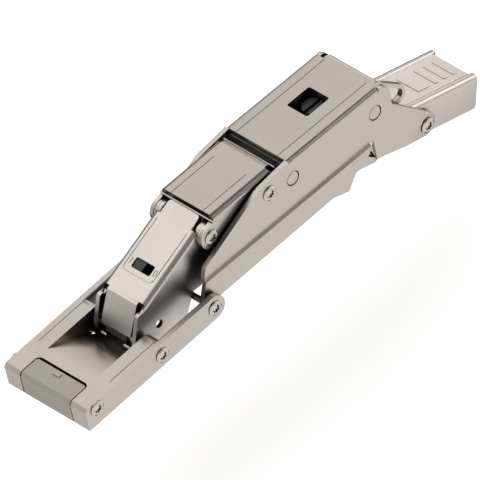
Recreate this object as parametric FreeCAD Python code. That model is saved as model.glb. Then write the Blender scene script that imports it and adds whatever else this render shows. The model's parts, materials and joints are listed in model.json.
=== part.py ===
import FreeCAD, Part
import math
import os
from FreeCAD import Vector

# Concealed cabinet hinge, fully open. Millimetres.
# +X runs from the door plate to the cabinet side, +Y is the hinge's width, +Z is up from the door.
# The origin is the centre of the door plate's seat face.

# Door plate
PLATE_WIDTH = 24.0
PLATE_HEIGHT = 5.9
PLATE_LENGTH = 24.6
PLATE_CHAMFER = 0.8
PLATE_REAR_ROUND = 2.4
RAIL_WALL = 1.5
RAIL_EDGE = 0.35
POCKET_START = 8.5
POCKET_SET_IN = 4.7
POCKET_SLOPE = 24.4
POCKET_FLOOR = 0.35
POCKET_FLOOR_REACH = 0.9
CORNER_HOLE_RADIUS = 0.5
RAIL_LINE_START = 9.1
RELIEF_DEPTH = 4.4

# Lock flap in the plate's front
FLAP_LENGTH = 5.5
FLAP_SET_IN = 4.8
FLAP_CORNER = 0.9
FLAP_GAP = 0.25
FLAP_REAR_GAP = 0.5
FLAP_PIVOT_X = 3.2
FLAP_PIVOT_DEPTH = 1.7
TAB_LENGTH = 0.9
TAB_WIDTH = 2.0
TAB_PROUD = 0.3
TAB_SINK = 0.8
TAB_BACK = 0.7
TAB_SIDE = 0.4

# Linkage: the four pivots stand on a parallelogram
LEVER_PIVOT_X = 22.6
PIVOT_SPAN = 16.0
LEVER_LENGTH = 26.3
LEVER_ANGLE = 29.5

# Pins
PIN_RADIUS = 1.0
LINK_PIN_RADIUS = 1.25
HEAD_RADIUS = 1.75
HEAD_PROUD = 0.35
ARM_PIN_WAIST = 0.72
RUNNING_CLEARANCE = 0.05
FIXED_CLEARANCE = 0.02
SIDE_CLEARANCE = 0.03
ROLLER_RADIUS = 1.6
ROLLER_LENGTH = 6.0

# Lever, a folded sheet channel
LEVER_WASHER = 0.54
LEVER_SHEET = 1.0
LEVER_BEND = 1.25
LEVER_PITCH = 21.0
LEVER_FOLD_X = 2.4
LEVER_FOLD_Z = 8.35
LEVER_COVER = 22.9
LEVER_BEND_END = 19.4
LEVER_TAB_SET_IN = 1.65
LEVER_EAR = 2.1
LEVER_REAR_EAR = 2.0
LEVER_REAR_DISC = 2.7
LIP_SLOT = 0.8
LIP_DROP = 6.7
LIP_SET_BACK = 3.7
EAR_HOLE_RADIUS = 1.0
PANEL_START = 5.2
PANEL_END = 18.2
PANEL_SET_IN = 1.7
PANEL_CORNER = 1.2
GROOVE_WIDTH = 0.16
GROOVE_DEPTH = 0.12
SWITCH_START = 6.5
SWITCH_LENGTH = 2.45
SWITCH_WIDTH = 5.4
SWITCH_TRAVEL = 2.4
SWITCH_SET_IN = 0.25
SWITCH_DEPTH = 1.9
PLAY = 0.15
DAMPER_REAR_RADIUS = 3.6
DAMPER_DEPTH = 8.1
DAMPER_BELLY_START = 9.0
DAMPER_BELLY_END = 15.0
DAMPER_ROUND = 1.5
DAMPER_FRONT_SHARE = 0.95
WIRE_RADIUS = 0.38
WIRE_BEND = 0.45
WIRE_SIDE_GAP = 0.27
WIRE_END_LENGTH = 1.85
WIRE_LENGTH = 5.2
WIRE_RISE = 1.6

# Bridge link
BRIDGE_WASHER = 0.44
BRIDGE_SHEET = 0.95
BRIDGE_BEND = 1.3
BRIDGE_PITCH = 2.0
BRIDGE_FRONT_X = 1.7
BRIDGE_TOP_Z = 4.6
BRIDGE_TAIL = 0.8
BRIDGE_LIP = 2.2
BRIDGE_EAR = 2.85
BRIDGE_REAR_EAR = 3.3
BRIDGE_LINE_OFFSET = 4.6
BRIDGE_LINE_STOP = 3.8

# Main arm
PLATE_WASHER = 0.59
ARM_SHEET = 1.1
ARM_BEND = 1.25
ARM_PITCH = 3.05
ARM_FRONT_X = 6.65
ARM_TOP_Z = 3.6
ARM_COVER = 26.9
ARM_NOSE = 1.2
JOGGLE = 0.6
JOGGLE_RISE = 0.45
JOGGLE_DROP = 12.1
JOGGLE_END = 22.0
JOGGLE_FADE = 1.2
JOGGLE_PITCH = 2.65
TIP_ANGLE = 5.8
TIP_RADIUS = 2.8
ARM_LINE_OFFSET = 6.0
WINDOW_START = 12.1
WINDOW_LENGTH = 6.8
WINDOW_WIDTH = 6.0
WINDOW_CORNER = 0.5
DENT_DEPTH = 0.3
DENT_CORNERS = [(26.4, -11.9), (28.4, -14.0), (27.5, -10.9)]
RIVET_RADIUS = 1.65
RIVET_GAP = 0.15
FRONT_RIVET_X = 6.8
FRONT_RIVET_Z = -1.5
REAR_RIVET_X = 31.4
REAR_RIVET_Z = -3.4
CHANNEL_PIVOT_X = 43.8
CHANNEL_PIVOT_Z = -18.15

# Housing and cam inside the arm
HOUSING_REAR_GAP = 3.69
HOUSING_DEPTH = 9.0
HOUSING_FRONT_GAP = 0.6
HOUSING_RAKE = 1.4
HOUSING_NOSE = 5.0
WELL_DEPTH = 6.0
CAM_RADIUS = 2.4
CAM_HEIGHT = 5.2

# Release lever at the arm's rear
RELEASE_SHEET = 0.9
RELEASE_GAP = 0.45
RELEASE_EAR = 2.9
RELEASE_EAR_CORNER = (4.6, 2.6)
RELEASE_EAR_TOP = 1.4
RELEASE_UNDER = 1.2
RELEASE_REACH = 2.45
RELEASE_BEND = 1.5
FLANGE_RUN = 1.1
FLANGE_DROP = 3.6
GRIP_WIDTH = 1.3
CURL_RADIUS = 2.4
CURL_X = 7.8
CURL_Z = -2.3
CURL_END = 160.0
SPRING_COIL_RADIUS = 2.5
SPRING_WIRE = 0.3
SPRING_TURNS = 4
SPRING_LEG = 3.0

# Mounting channel
CHANNEL_GAP = 0.3
CHANNEL_HEIGHT = 8.1
CHANNEL_SHEET = 1.1
CHANNEL_BEND = 1.4
CHANNEL_PITCH = 18.9
CHANNEL_TOP = 4.6
CHANNEL_REAR = 16.6
CHANNEL_FRONT = 8.6
CHANNEL_CORNER = 1.0
PANEL_SET_BACK = 0.7
BEAD_WIDTH = 1.8
BEAD_HEIGHT = 0.35
BEAD_ROUND = 0.4
STAMP_HEIGHT = 0.12
STAMP_SET_IN = 3.9
STAMP_START = 1.5
STAMP_PITCH = 2.66
STAMP_BAR = 1.2
STAMP_SQUARE = 3.6
STAMP_BARS = 3
STAMP_CORNER = 0.3

LONG = 200.0


def on_side(x, z):
    """Point of the side view, in the XZ plane."""
    return Vector(x, 0, z)


def on_section(y, z):
    """Point of a cross-section, in the YZ plane."""
    return Vector(0, y, z)


def on_plan(x, y):
    """Point of the plan view, in the XY plane."""
    return Vector(x, y, 0)


def belt_normals(nodes):
    """Outward normals of the straight runs of a counter-clockwise outline."""
    normals = []
    for here, after in zip(nodes, nodes[1:] + nodes[:1]):
        run = Vector(after[0] - here[0], after[1] - here[1], 0)
        length = run.Length
        run.normalize()
        share = (about(here) - about(after)) / length
        outward = Vector(run.y, -run.x, 0)
        normals.append(run * share + outward * math.sqrt(1 - share * share))
    return normals


def about(node):
    """Radius that an outline keeps about a node, 0 at a corner."""
    return node[2] if len(node) == 4 else 0.0


def turned(direction):
    """Direction a quarter turn counter-clockwise from the given one."""
    return Vector(-direction.y, direction.x, 0)


def corner(node, before, after):
    """Start, middle and end of an outline at one node."""
    at = Vector(node[0], node[1], 0)
    if about(node) > 0:
        start = at + before * node[2]
        end = at + after * node[2]
        first = math.atan2(before.y, before.x)
        sweep = (math.atan2(after.y, after.x) - first) % (2 * math.pi)
        half = first + sweep / 2
        return start, at + Vector(math.cos(half), math.sin(half), 0) * node[2], end
    if len(node) == 2:
        return at, None, at
    turn = before.getAngle(after)
    back = node[2] * math.tan(turn / 2)
    start = at - turned(before) * back
    end = at + turned(after) * back
    inward = -1 if before.cross(after).z > 0 else 1
    centre = start + before * inward * node[2]
    toward = at - centre
    toward.normalize()
    return start, centre + toward * node[2], end


def outline(nodes, place=on_side):
    """Closed wire through nodes listed counter-clockwise.

    (a, b) is a sharp corner, (a, b, r) a corner rounded by r, and (a, b, r, "about") an arc
    of radius r about that point, with its neighbours tangent to it.
    """
    normals = belt_normals(nodes)
    bends = []
    for index, node in enumerate(nodes):
        bends.append(corner(node, normals[index - 1], normals[index]))
    edges = []
    for here, after in zip(bends, bends[1:] + bends[:1]):
        start, middle, end = here
        if middle is not None:
            points = [place(p.x, p.y) for p in here]
            edges.append(Part.Arc(*points).toShape())
        if (after[0] - end).Length > 1e-6:
            edges.append(Part.LineSegment(place(end.x, end.y), place(after[0].x, after[0].y)).toShape())
    return Part.Wire(edges)


def slab(nodes, low, high):
    """Side outline made solid between two values of Y."""
    face = Part.Face(outline(nodes))
    face.translate(Vector(0, low, 0))
    return face.extrude(Vector(0, high - low, 0))


def plan_prism(nodes, low, high):
    """Plan outline made solid between two values of Z."""
    face = Part.Face(outline(nodes, on_plan))
    face.translate(Vector(0, 0, low))
    return face.extrude(Vector(0, 0, high - low))


def cross_rod(centre, radius, low, high):
    """Round bar along Y through a point of the side view."""
    return Part.makeCylinder(radius, high - low, Vector(centre[0], low, centre[1]), Vector(0, 1, 0))


def through(centre, radius):
    """Hole across the whole width."""
    return cross_rod(centre, radius, -LONG / 2, LONG / 2)


def both_sides(shape):
    """A shape and its mirror image in the hinge's middle plane."""
    return [shape, shape.mirror(Vector(0, 0, 0), Vector(0, 1, 0))]


def washers(centre, bore, outer, low, high):
    """One ring on each side, between two distances from the middle plane."""
    ring = cross_rod(centre, outer, low, high).cut(cross_rod(centre, bore, low - 1, high + 1))
    return Part.makeCompound(both_sides(ring))


def rivet_pin(centre, radius, half_length, head=HEAD_RADIUS):
    """Pin whose two riveted heads stand on faces at half_length."""
    pin = cross_rod(centre, radius, -half_length - HEAD_PROUD, half_length + HEAD_PROUD)
    heads = both_sides(cross_rod(centre, head, half_length, half_length + HEAD_PROUD))
    return pin.multiFuse(heads).removeSplitter()


def folded_channel(width, depth, sheet, bend, start, end, place=None):
    """Bent sheet channel, open below, its top face at Z 0 and its length along X."""
    half = width / 2
    inner = half - sheet
    nodes = [(-half, -depth), (-inner, -depth), (-inner, -sheet, bend - sheet), (inner, -sheet, bend - sheet),
             (inner, -depth), (half, -depth), (half, 0, bend), (-half, 0, bend)]
    face = Part.Face(outline(nodes, on_section))
    face.translate(Vector(start, 0, 0))
    solid = face.extrude(Vector(end - start, 0, 0))
    return place(solid) if place else solid


def pitched(x, z, angle):
    """Places a shape at a point of the side view, with its +X end raised by an angle."""
    def move(shape):
        moved = shape.copy()
        moved.rotate(Vector(0, 0, 0), Vector(0, 1, 0), -angle)
        moved.translate(Vector(x, 0, z))
        return moved
    return move


def along(x, z, angle, run, rise):
    """Point of the side view, run along a pitched line and rise above it."""
    cosine = math.cos(math.radians(angle))
    sine = math.sin(math.radians(angle))
    return (x + run * cosine - rise * sine, z + run * sine + rise * cosine)


def box_between(low, high):
    """Block between two opposite corners."""
    size = Vector(*high) - Vector(*low)
    return Part.makeBox(size.x, size.y, size.z, Vector(*low))


def rounded_plan(start, end, half_width, radius, low, high):
    """Upright block with rounded corners, centred on the middle plane."""
    nodes = [(start, -half_width, radius), (end, -half_width, radius),
             (end, half_width, radius), (start, half_width, radius)]
    return plan_prism(nodes, low, high)


def rounded_run(points, bend):
    """Edges of an open line through points, its corners bent to one radius."""
    edges = []
    last = points[0]
    for before, here, after in zip(points, points[1:], points[2:]):
        back = before - here
        ahead = after - here
        back.normalize()
        ahead.normalize()
        half = back.getAngle(ahead) / 2
        reach = bend / math.tan(half)
        inward = back + ahead
        inward.normalize()
        middle = here + inward * (bend / math.sin(half) - bend)
        edges.append(Part.LineSegment(last, here + back * reach).toShape())
        edges.append(Part.Arc(here + back * reach, middle, here + ahead * reach).toShape())
        last = here + ahead * reach
    edges.append(Part.LineSegment(last, points[-1]).toShape())
    return edges


def wire_rod(points, radius, bend):
    """Round wire through points, its corners bent to one radius."""
    path = Part.Wire(rounded_run(points, bend))
    section = Part.Wire(Part.makeCircle(radius, points[0], points[1] - points[0]))
    return path.makePipeShell([section], True, False)


# Pivots in the side view, measured from the plate's front face and its seat
PIVOT_Z = PLATE_HEIGHT / 2
LEVER_PIVOT = (LEVER_PIVOT_X, PIVOT_Z)
ARM_PIVOT = (LEVER_PIVOT_X + PIVOT_SPAN, PIVOT_Z)
JOINT_PIVOT = along(*LEVER_PIVOT, LEVER_ANGLE, LEVER_LENGTH, 0)
BRIDGE_PIVOT = (JOINT_PIVOT[0] + PIVOT_SPAN, JOINT_PIVOT[1])
FLAP_PIVOT = (FLAP_PIVOT_X, PLATE_HEIGHT - FLAP_PIVOT_DEPTH)
FRONT_RIVET = (BRIDGE_PIVOT[0] + FRONT_RIVET_X, BRIDGE_PIVOT[1] + FRONT_RIVET_Z)
REAR_RIVET = (BRIDGE_PIVOT[0] + REAR_RIVET_X, BRIDGE_PIVOT[1] + REAR_RIVET_Z)
CHANNEL_PIVOT = (BRIDGE_PIVOT[0] + CHANNEL_PIVOT_X, BRIDGE_PIVOT[1] + CHANNEL_PIVOT_Z)
LEVER_FOLD = (LEVER_PIVOT[0] + LEVER_FOLD_X, LEVER_PIVOT[1] + LEVER_FOLD_Z)
BRIDGE_FRONT = (JOINT_PIVOT[0] + BRIDGE_FRONT_X, JOINT_PIVOT[1] + BRIDGE_TOP_Z)
ARM_FRONT = (BRIDGE_PIVOT[0] + ARM_FRONT_X, BRIDGE_PIVOT[1] + ARM_TOP_Z)
TIP_LOW = (CHANNEL_PIVOT[0] - 6.4, CHANNEL_PIVOT[1] - 0.1)
TIP_HIGH = (CHANNEL_PIVOT[0] - 1.4, CHANNEL_PIVOT[1] + 4.25)
SEAT_CENTRE = PLATE_LENGTH / 2
BRIDGE_LENGTH = PIVOT_SPAN + BRIDGE_TAIL

# Half widths of the nested channels
PLATE_HALF = PLATE_WIDTH / 2
RAIL_INNER = PLATE_HALF - RAIL_WALL
FLAP_HALF = PLATE_HALF - FLAP_SET_IN
POCKET_HALF = PLATE_HALF - POCKET_SET_IN
ARM_HALF = RAIL_INNER - PLATE_WASHER - 2 * SIDE_CLEARANCE - JOGGLE
ARM_INNER = ARM_HALF - ARM_SHEET
BRIDGE_HALF = ARM_INNER - BRIDGE_WASHER - 2 * SIDE_CLEARANCE
BRIDGE_INNER = BRIDGE_HALF - BRIDGE_SHEET
LEVER_HALF = BRIDGE_INNER - LEVER_WASHER - 2 * SIDE_CLEARANCE
LEVER_INNER = LEVER_HALF - LEVER_SHEET
LIP_HALF = LEVER_INNER - LIP_SLOT


def tip_face(point, reach):
    """Half width outside the arm's bent tips, at a reach beyond a side-view point."""
    low = Vector(TIP_LOW[0], TIP_LOW[1], 0)
    run = Vector(TIP_HIGH[0], TIP_HIGH[1], 0) - low
    run.normalize()
    there = Vector(point[0], point[1], 0) - low
    behind = there.x * run.y - there.y * run.x + reach
    return ARM_HALF - behind * math.sin(math.radians(TIP_ANGLE))


CHANNEL_HALF = tip_face(CHANNEL_PIVOT, TIP_RADIUS) - ARM_SHEET - CHANNEL_GAP
CHANNEL_INNER = CHANNEL_HALF - CHANNEL_SHEET


def on_lever(run, rise):
    """Point measured along the lever's cover and above it."""
    return along(*LEVER_FOLD, LEVER_PITCH, run, rise)


def on_bridge(run, rise):
    """Point measured along the bridge link's top and above it."""
    return along(*BRIDGE_FRONT, -BRIDGE_PITCH, run, rise)


def on_arm(run, rise):
    """Point measured along the arm's cover and above it."""
    return along(*ARM_FRONT, -ARM_PITCH, run, rise)


def arm_run(point):
    """How far a point lies along the arm's cover."""
    pitch = math.radians(ARM_PITCH)
    return (point[0] - ARM_FRONT[0]) * math.cos(pitch) - (point[1] - ARM_FRONT[1]) * math.sin(pitch)


def from_point(centre, x, z):
    """Point of the side view, offset from another."""
    return (centre[0] + x, centre[1] + z)


place_lever = pitched(*LEVER_FOLD, LEVER_PITCH)
place_bridge = pitched(*BRIDGE_FRONT, -BRIDGE_PITCH)
place_arm = pitched(*ARM_FRONT, -ARM_PITCH)
place_channel = pitched(*CHANNEL_PIVOT, -CHANNEL_PITCH)


def cup_body():
    """Door plate with lock recess, lever pocket and two rounded rails."""
    round_end = (ARM_PIVOT[0], PIVOT_Z, PIVOT_Z, "about")
    blank = slab([(0, 0), round_end, (PLATE_CHAMFER, PLATE_HEIGHT), (0, PLATE_HEIGHT - PLATE_CHAMFER)],
                 -PLATE_HALF, PLATE_HALF)
    between = box_between((PLATE_LENGTH, -RAIL_INNER, -1), (LONG, RAIL_INNER, PLATE_HEIGHT + 1))
    body = blank.cut(between)
    ramp_end = POCKET_START + (PLATE_HEIGHT - POCKET_FLOOR) / math.tan(math.radians(POCKET_SLOPE))
    floor_end = LEVER_PIVOT[0] + POCKET_FLOOR_REACH
    over = 1.0
    pocket = slab([(POCKET_START, PLATE_HEIGHT), (ramp_end, POCKET_FLOOR), (floor_end, POCKET_FLOOR),
                   (floor_end, -over), (PLATE_LENGTH + over, -over), (PLATE_LENGTH + over, PLATE_HEIGHT + over),
                   (POCKET_START, PLATE_HEIGHT + over)], -POCKET_HALF, POCKET_HALF)
    body = body.cut(pocket)
    for y in (-POCKET_HALF + CORNER_HOLE_RADIUS, POCKET_HALF - CORNER_HOLE_RADIUS):
        centre = Vector(ramp_end - CORNER_HOLE_RADIUS, y, -over)
        hole = Part.makeCylinder(CORNER_HOLE_RADIUS, PLATE_HEIGHT, centre)
        body = body.cut(hole)
    body = body.makeFillet(PLATE_REAR_ROUND, plate_rear_edges(body))
    body = body.makeFillet(RAIL_EDGE, rail_top_edges(body))
    recess_rear = FLAP_LENGTH + FLAP_REAR_GAP
    recess = rounded_plan(-recess_rear, recess_rear, FLAP_HALF + FLAP_GAP, FLAP_CORNER + FLAP_GAP,
                          -over, PLATE_HEIGHT + over)
    body = body.cut(recess)
    for relief in under_reliefs():
        body = body.cut(relief)
    for line in both_sides(box_between((RAIL_LINE_START, RAIL_INNER - GROOVE_WIDTH, PLATE_HEIGHT - GROOVE_DEPTH),
                                       (PLATE_LENGTH + over, RAIL_INNER, PLATE_HEIGHT + over))):
        body = body.cut(line)
    for centre, radius in ((FLAP_PIVOT, PIN_RADIUS), (LEVER_PIVOT, PIN_RADIUS), (ARM_PIVOT, PIN_RADIUS)):
        body = body.cut(through(centre, radius + FIXED_CLEARANCE))
    return body


def plate_rear_edges(body):
    """Top edges at the plate's rear, beside the pocket."""
    chosen = []
    for edge in body.Edges:
        box = edge.BoundBox
        at_rear = abs(box.XMin - PLATE_LENGTH) < 1e-4 and abs(box.XMax - PLATE_LENGTH) < 1e-4
        if at_rear and box.ZMin > PLATE_HEIGHT - 1e-4:
            chosen.append(edge)
    return chosen


def rail_top_edges(body):
    """Inner top edges of the rails and of their rounded ends."""
    chosen = []
    for edge in body.Edges:
        box = edge.BoundBox
        inner = abs(abs(box.YMin) - RAIL_INNER) < 1e-4 and abs(box.YMax - box.YMin) < 1e-4
        if inner and box.ZMax > PLATE_HEIGHT - 1e-4 and box.XMax > PLATE_LENGTH + 1e-4:
            chosen.append(edge)
    return chosen


def under_reliefs():
    """Hollows under the plate, beside the pocket."""
    wall = RAIL_WALL
    outer = PLATE_HALF - wall
    inner = POCKET_HALF + wall / 2
    start = FLAP_LENGTH + FLAP_REAR_GAP + 2 * wall
    end = LEVER_PIVOT[0] - HEAD_RADIUS - wall
    return both_sides(box_between((start, inner, -1), (end, outer, RELIEF_DEPTH)))


def lock_flap():
    """Block in the plate's front, its rear underside rounded about its cross pin."""
    half = FLAP_HALF
    side = slab([(0, 0), (FLAP_LENGTH, 0), (FLAP_LENGTH, PLATE_HEIGHT, PLATE_CHAMFER / 4),
                 (PLATE_CHAMFER, PLATE_HEIGHT), (0, PLATE_HEIGHT - PLATE_CHAMFER)], -half, half)
    plan = rounded_plan(-FLAP_LENGTH, FLAP_LENGTH, half, FLAP_CORNER, -1, PLATE_HEIGHT + 1)
    flap = side.common(plan).cut(through(FLAP_PIVOT, PIN_RADIUS + RUNNING_CLEARANCE))
    quarter = box_between((FLAP_PIVOT[0], -PLATE_WIDTH, -1), (2 * FLAP_LENGTH, PLATE_WIDTH, FLAP_PIVOT[1]))
    flap = flap.cut(quarter.cut(through(FLAP_PIVOT, FLAP_PIVOT[1])))
    return flap.cut(lock_tab())


def lock_tab():
    """Small tab let into the flap's top."""
    end = FLAP_LENGTH - TAB_BACK
    return box_between((end - TAB_LENGTH, TAB_SIDE - TAB_WIDTH / 2, PLATE_HEIGHT - TAB_SINK),
                       (end, TAB_SIDE + TAB_WIDTH / 2, PLATE_HEIGHT + TAB_PROUD))


def lock_pin():
    """Cross pin of the lock flap."""
    return rivet_pin(FLAP_PIVOT, PIN_RADIUS, PLATE_HALF)


def lever_pin():
    """Axle of the lever in the door plate."""
    return rivet_pin(LEVER_PIVOT, PIN_RADIUS, PLATE_HALF)


def lever_roller():
    """Sleeve on the lever's axle."""
    sleeve = cross_rod(LEVER_PIVOT, ROLLER_RADIUS, -ROLLER_LENGTH / 2, ROLLER_LENGTH / 2)
    return sleeve.cut(through(LEVER_PIVOT, PIN_RADIUS + FIXED_CLEARANCE))


def arm_pin():
    """Axle of the main arm, turned thinner between the rails."""
    pin = rivet_pin(ARM_PIVOT, PIN_RADIUS, PLATE_HALF)
    half = RAIL_INNER
    ring = cross_rod(ARM_PIVOT, HEAD_RADIUS, -half, half).cut(through(ARM_PIVOT, ARM_PIN_WAIST))
    return pin.cut(ring)


def lever_wall_nodes():
    """Side outline of the lever's walls, belly and ears."""
    return [(*LEVER_PIVOT, LEVER_EAR, "about"),
            (*from_point(LEVER_PIVOT, 10.4, -2.75), 3.0),
            (*from_point(ARM_PIVOT, -2.3, -1.75), 1.6),
            (*from_point(ARM_PIVOT, 0.0, 1.6), 0.8),
            (*from_point(ARM_PIVOT, 2.7, 1.4), 1.0),
            (*JOINT_PIVOT, LEVER_REAR_EAR, "about"),
            on_lever(LEVER_BEND_END, -LEVER_BEND),
            on_lever(0.1, -LEVER_BEND),
            (*from_point(LEVER_PIVOT, 0.7, 7.3), 0.8)]


def lever_channel():
    """Lever folded from one sheet: cover, walls, front lip and rear tab."""
    walls = both_sides(slab(lever_wall_nodes(), LEVER_INNER, LEVER_HALF))
    cover = folded_channel(2 * LEVER_HALF, LEVER_BEND + 0.4, LEVER_SHEET, LEVER_BEND, 0, LEVER_BEND_END,
                           place_lever)
    tab = rounded_plan(LEVER_BEND_END - 2, LEVER_COVER, LEVER_HALF - LEVER_TAB_SET_IN, 0.8, -LEVER_SHEET, 0)
    ears = both_sides(cross_rod(JOINT_PIVOT, LEVER_REAR_DISC, LEVER_INNER, LEVER_HALF))
    lever = cover.multiFuse(walls + ears + [place_lever(tab), lever_lip()])
    for cutter in lever_cutters():
        lever = lever.cut(cutter)
    return lever.removeSplitter()


def lever_lip():
    """Front lip folded down from the cover between the ears."""
    foot = from_point(LEVER_FOLD, -LIP_SET_BACK, -LIP_DROP)
    back = LEVER_SHEET / math.sin(math.atan2(LIP_DROP, LIP_SET_BACK))
    inside = on_lever(LEVER_SHEET * 0.6, -LEVER_SHEET)
    nodes = [foot, from_point(foot, back, 0), (*inside, 0.3), on_lever(2.0, -LEVER_SHEET),
             on_lever(2.0, 0), (*LEVER_FOLD, 0.9)]
    return slab(nodes, -LIP_HALF, LIP_HALF)


def lever_cutters():
    """Bores, ear hole, switch window, relief notches and panel groove of the lever."""
    bore = PIN_RADIUS + RUNNING_CLEARANCE
    joint_bore = LINK_PIN_RADIUS + RUNNING_CLEARANCE
    cutters = [through(LEVER_PIVOT, bore), through(JOINT_PIVOT, joint_bore),
               through(from_point(LEVER_PIVOT, 5.5, 1.05), EAR_HOLE_RADIUS)]
    window = rounded_plan(SWITCH_START, SWITCH_START + SWITCH_LENGTH, SWITCH_WIDTH / 2, 0.4,
                          -LEVER_SHEET - 1, 1)
    cutters.append(place_lever(window))
    for notch in both_sides(box_between((-1, LIP_HALF, -LEVER_BEND - 0.05), (0.9, LEVER_HALF - 0.35, 1))):
        cutters.append(place_lever(notch))
    cutters.append(place_lever(panel_groove()))
    return cutters


def panel_groove():
    """Groove round three sides of the panel on the lever's cover."""
    half = LEVER_HALF - PANEL_SET_IN
    outer = rounded_plan(PANEL_START, PANEL_END + PANEL_CORNER, half, PANEL_CORNER, -GROOVE_DEPTH, 1)
    inner = rounded_plan(PANEL_START + GROOVE_WIDTH, PANEL_END + 2 * PANEL_CORNER, half - GROOVE_WIDTH,
                         PANEL_CORNER - GROOVE_WIDTH, -GROOVE_DEPTH - 1, 2)
    beyond = box_between((PANEL_END, -2 * LEVER_HALF, -1), (PANEL_END + LEVER_COVER, 2 * LEVER_HALF, 2))
    return outer.cut(inner).cut(beyond)


def damper_housing():
    """Plastic housing inside the lever, with the switch's slot."""
    top = -LEVER_SHEET - PLAY / 3
    back = LEVER_SHEET / math.sin(math.atan2(LIP_DROP, LIP_SET_BACK)) + 2 * PLAY
    nodes = [from_point(LEVER_PIVOT, ROLLER_RADIUS / 2, ROLLER_RADIUS + 3 * PLAY),
             (*on_lever(DAMPER_BELLY_START, -DAMPER_DEPTH), DAMPER_ROUND),
             (*on_lever(DAMPER_BELLY_END, -DAMPER_DEPTH), DAMPER_ROUND),
             (*JOINT_PIVOT, DAMPER_REAR_RADIUS, "about"), from_point(LEVER_FOLD, back, 0),
             from_point(LEVER_FOLD, back - LIP_SET_BACK * DAMPER_FRONT_SHARE, -LIP_DROP * DAMPER_FRONT_SHARE)]
    half = LEVER_INNER - PLAY
    above = box_between((-LONG / 4, -half - 1, top), (LONG / 4, half + 1, LONG / 8))
    housing = slab(nodes, -half, half).cut(place_lever(above))
    slot = box_between((SWITCH_START - PLAY, -SWITCH_WIDTH / 2 - PLAY, -LEVER_SHEET - SWITCH_DEPTH),
                       (SWITCH_START + SWITCH_LENGTH + PLAY, SWITCH_WIDTH / 2 + PLAY, 1))
    housing = housing.cut(place_lever(slot))
    return housing.cut(through(JOINT_PIVOT, LINK_PIN_RADIUS + PLAY))


def damper_switch():
    """Slider of the damper switch, at its far end."""
    end = SWITCH_WIDTH / 2 - PLAY
    start = end - (SWITCH_WIDTH - 2 * PLAY - SWITCH_TRAVEL)
    block = box_between((SWITCH_START + PLAY, start, -LEVER_SHEET - SWITCH_DEPTH + PLAY / 3),
                        (SWITCH_START + SWITCH_LENGTH - PLAY, end, -SWITCH_SET_IN))
    return place_lever(block)


def lever_spring():
    """Bent wire whose turned-in ends lie in front of the lever's axle."""
    low = PIN_RADIUS + WIRE_RADIUS + RUNNING_CLEARANCE
    front = from_point(LEVER_PIVOT, -1.36 * low, -0.63 * low)
    below = from_point(LEVER_PIVOT, 0.68 * low, -1.35 * low)
    rear = from_point(LEVER_PIVOT, WIRE_LENGTH, WIRE_RISE)
    leg = LEVER_INNER - WIRE_RADIUS - WIRE_SIDE_GAP
    points = [Vector(front[0], leg - WIRE_END_LENGTH, front[1]), Vector(front[0], leg, front[1]),
              Vector(below[0], leg, below[1]), Vector(rear[0], leg, rear[1])]
    mirrored = [Vector(p.x, -p.y, p.z) for p in reversed(points)]
    return wire_rod(points + mirrored, WIRE_RADIUS, WIRE_BEND)


def bridge_link():
    """Short link folded from one sheet, its rear lip rolled down."""
    cover = folded_channel(2 * BRIDGE_HALF, BRIDGE_BEND + 0.4, BRIDGE_SHEET, BRIDGE_BEND, 0, BRIDGE_LENGTH,
                           place_bridge)
    wall = slab([(*JOINT_PIVOT, BRIDGE_EAR, "about"), (*BRIDGE_PIVOT, BRIDGE_REAR_EAR, "about"),
                 on_bridge(BRIDGE_LENGTH, -BRIDGE_BEND), (*on_bridge(0, -BRIDGE_BEND), 0.3)],
                BRIDGE_INNER, BRIDGE_HALF)
    link = cover.multiFuse(both_sides(wall) + [bridge_lip()])
    link = link.cut(through(JOINT_PIVOT, LINK_PIN_RADIUS + RUNNING_CLEARANCE))
    link = link.cut(through(BRIDGE_PIVOT, LINK_PIN_RADIUS + RUNNING_CLEARANCE))
    for groove in both_sides(box_between((-1, BRIDGE_LINE_OFFSET, -GROOVE_DEPTH),
                                         (BRIDGE_LENGTH - BRIDGE_LINE_STOP, BRIDGE_LINE_OFFSET + GROOVE_WIDTH, 1))):
        link = link.cut(place_bridge(groove))
    return link.removeSplitter()


def bridge_lip():
    """Quarter roll at the link's rear edge."""
    half = BRIDGE_HALF - BRIDGE_BEND
    centre = Vector(BRIDGE_LENGTH, -half, -BRIDGE_LIP)
    roll = Part.makeCylinder(BRIDGE_LIP, 2 * half, centre, Vector(0, 1, 0))
    roll = roll.cut(Part.makeCylinder(BRIDGE_LIP - BRIDGE_SHEET, 2 * half, centre, Vector(0, 1, 0)))
    keep = box_between((BRIDGE_LENGTH, -half, -BRIDGE_LIP), (BRIDGE_LENGTH + BRIDGE_LIP, half, 1))
    return place_bridge(roll.common(keep))


def lever_washers():
    """Washers between the lever's rear ears and the bridge link."""
    return washers(JOINT_PIVOT, LINK_PIN_RADIUS + RUNNING_CLEARANCE, LEVER_REAR_DISC,
                   LEVER_HALF + SIDE_CLEARANCE, BRIDGE_INNER - SIDE_CLEARANCE)


def joint_pin():
    """Pin between the lever and the bridge link."""
    return rivet_pin(JOINT_PIVOT, LINK_PIN_RADIUS, BRIDGE_HALF, HEAD_RADIUS)


def bridge_pin():
    """Pin between the bridge link and the main arm."""
    return rivet_pin(BRIDGE_PIVOT, LINK_PIN_RADIUS, ARM_HALF)


def bridge_washers():
    """Washers between the bridge link and the arm's side plates."""
    return washers(BRIDGE_PIVOT, LINK_PIN_RADIUS + RUNNING_CLEARANCE, LINK_PIN_RADIUS * 1.9,
                   BRIDGE_HALF + SIDE_CLEARANCE, ARM_INNER - SIDE_CLEARANCE)


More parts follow.
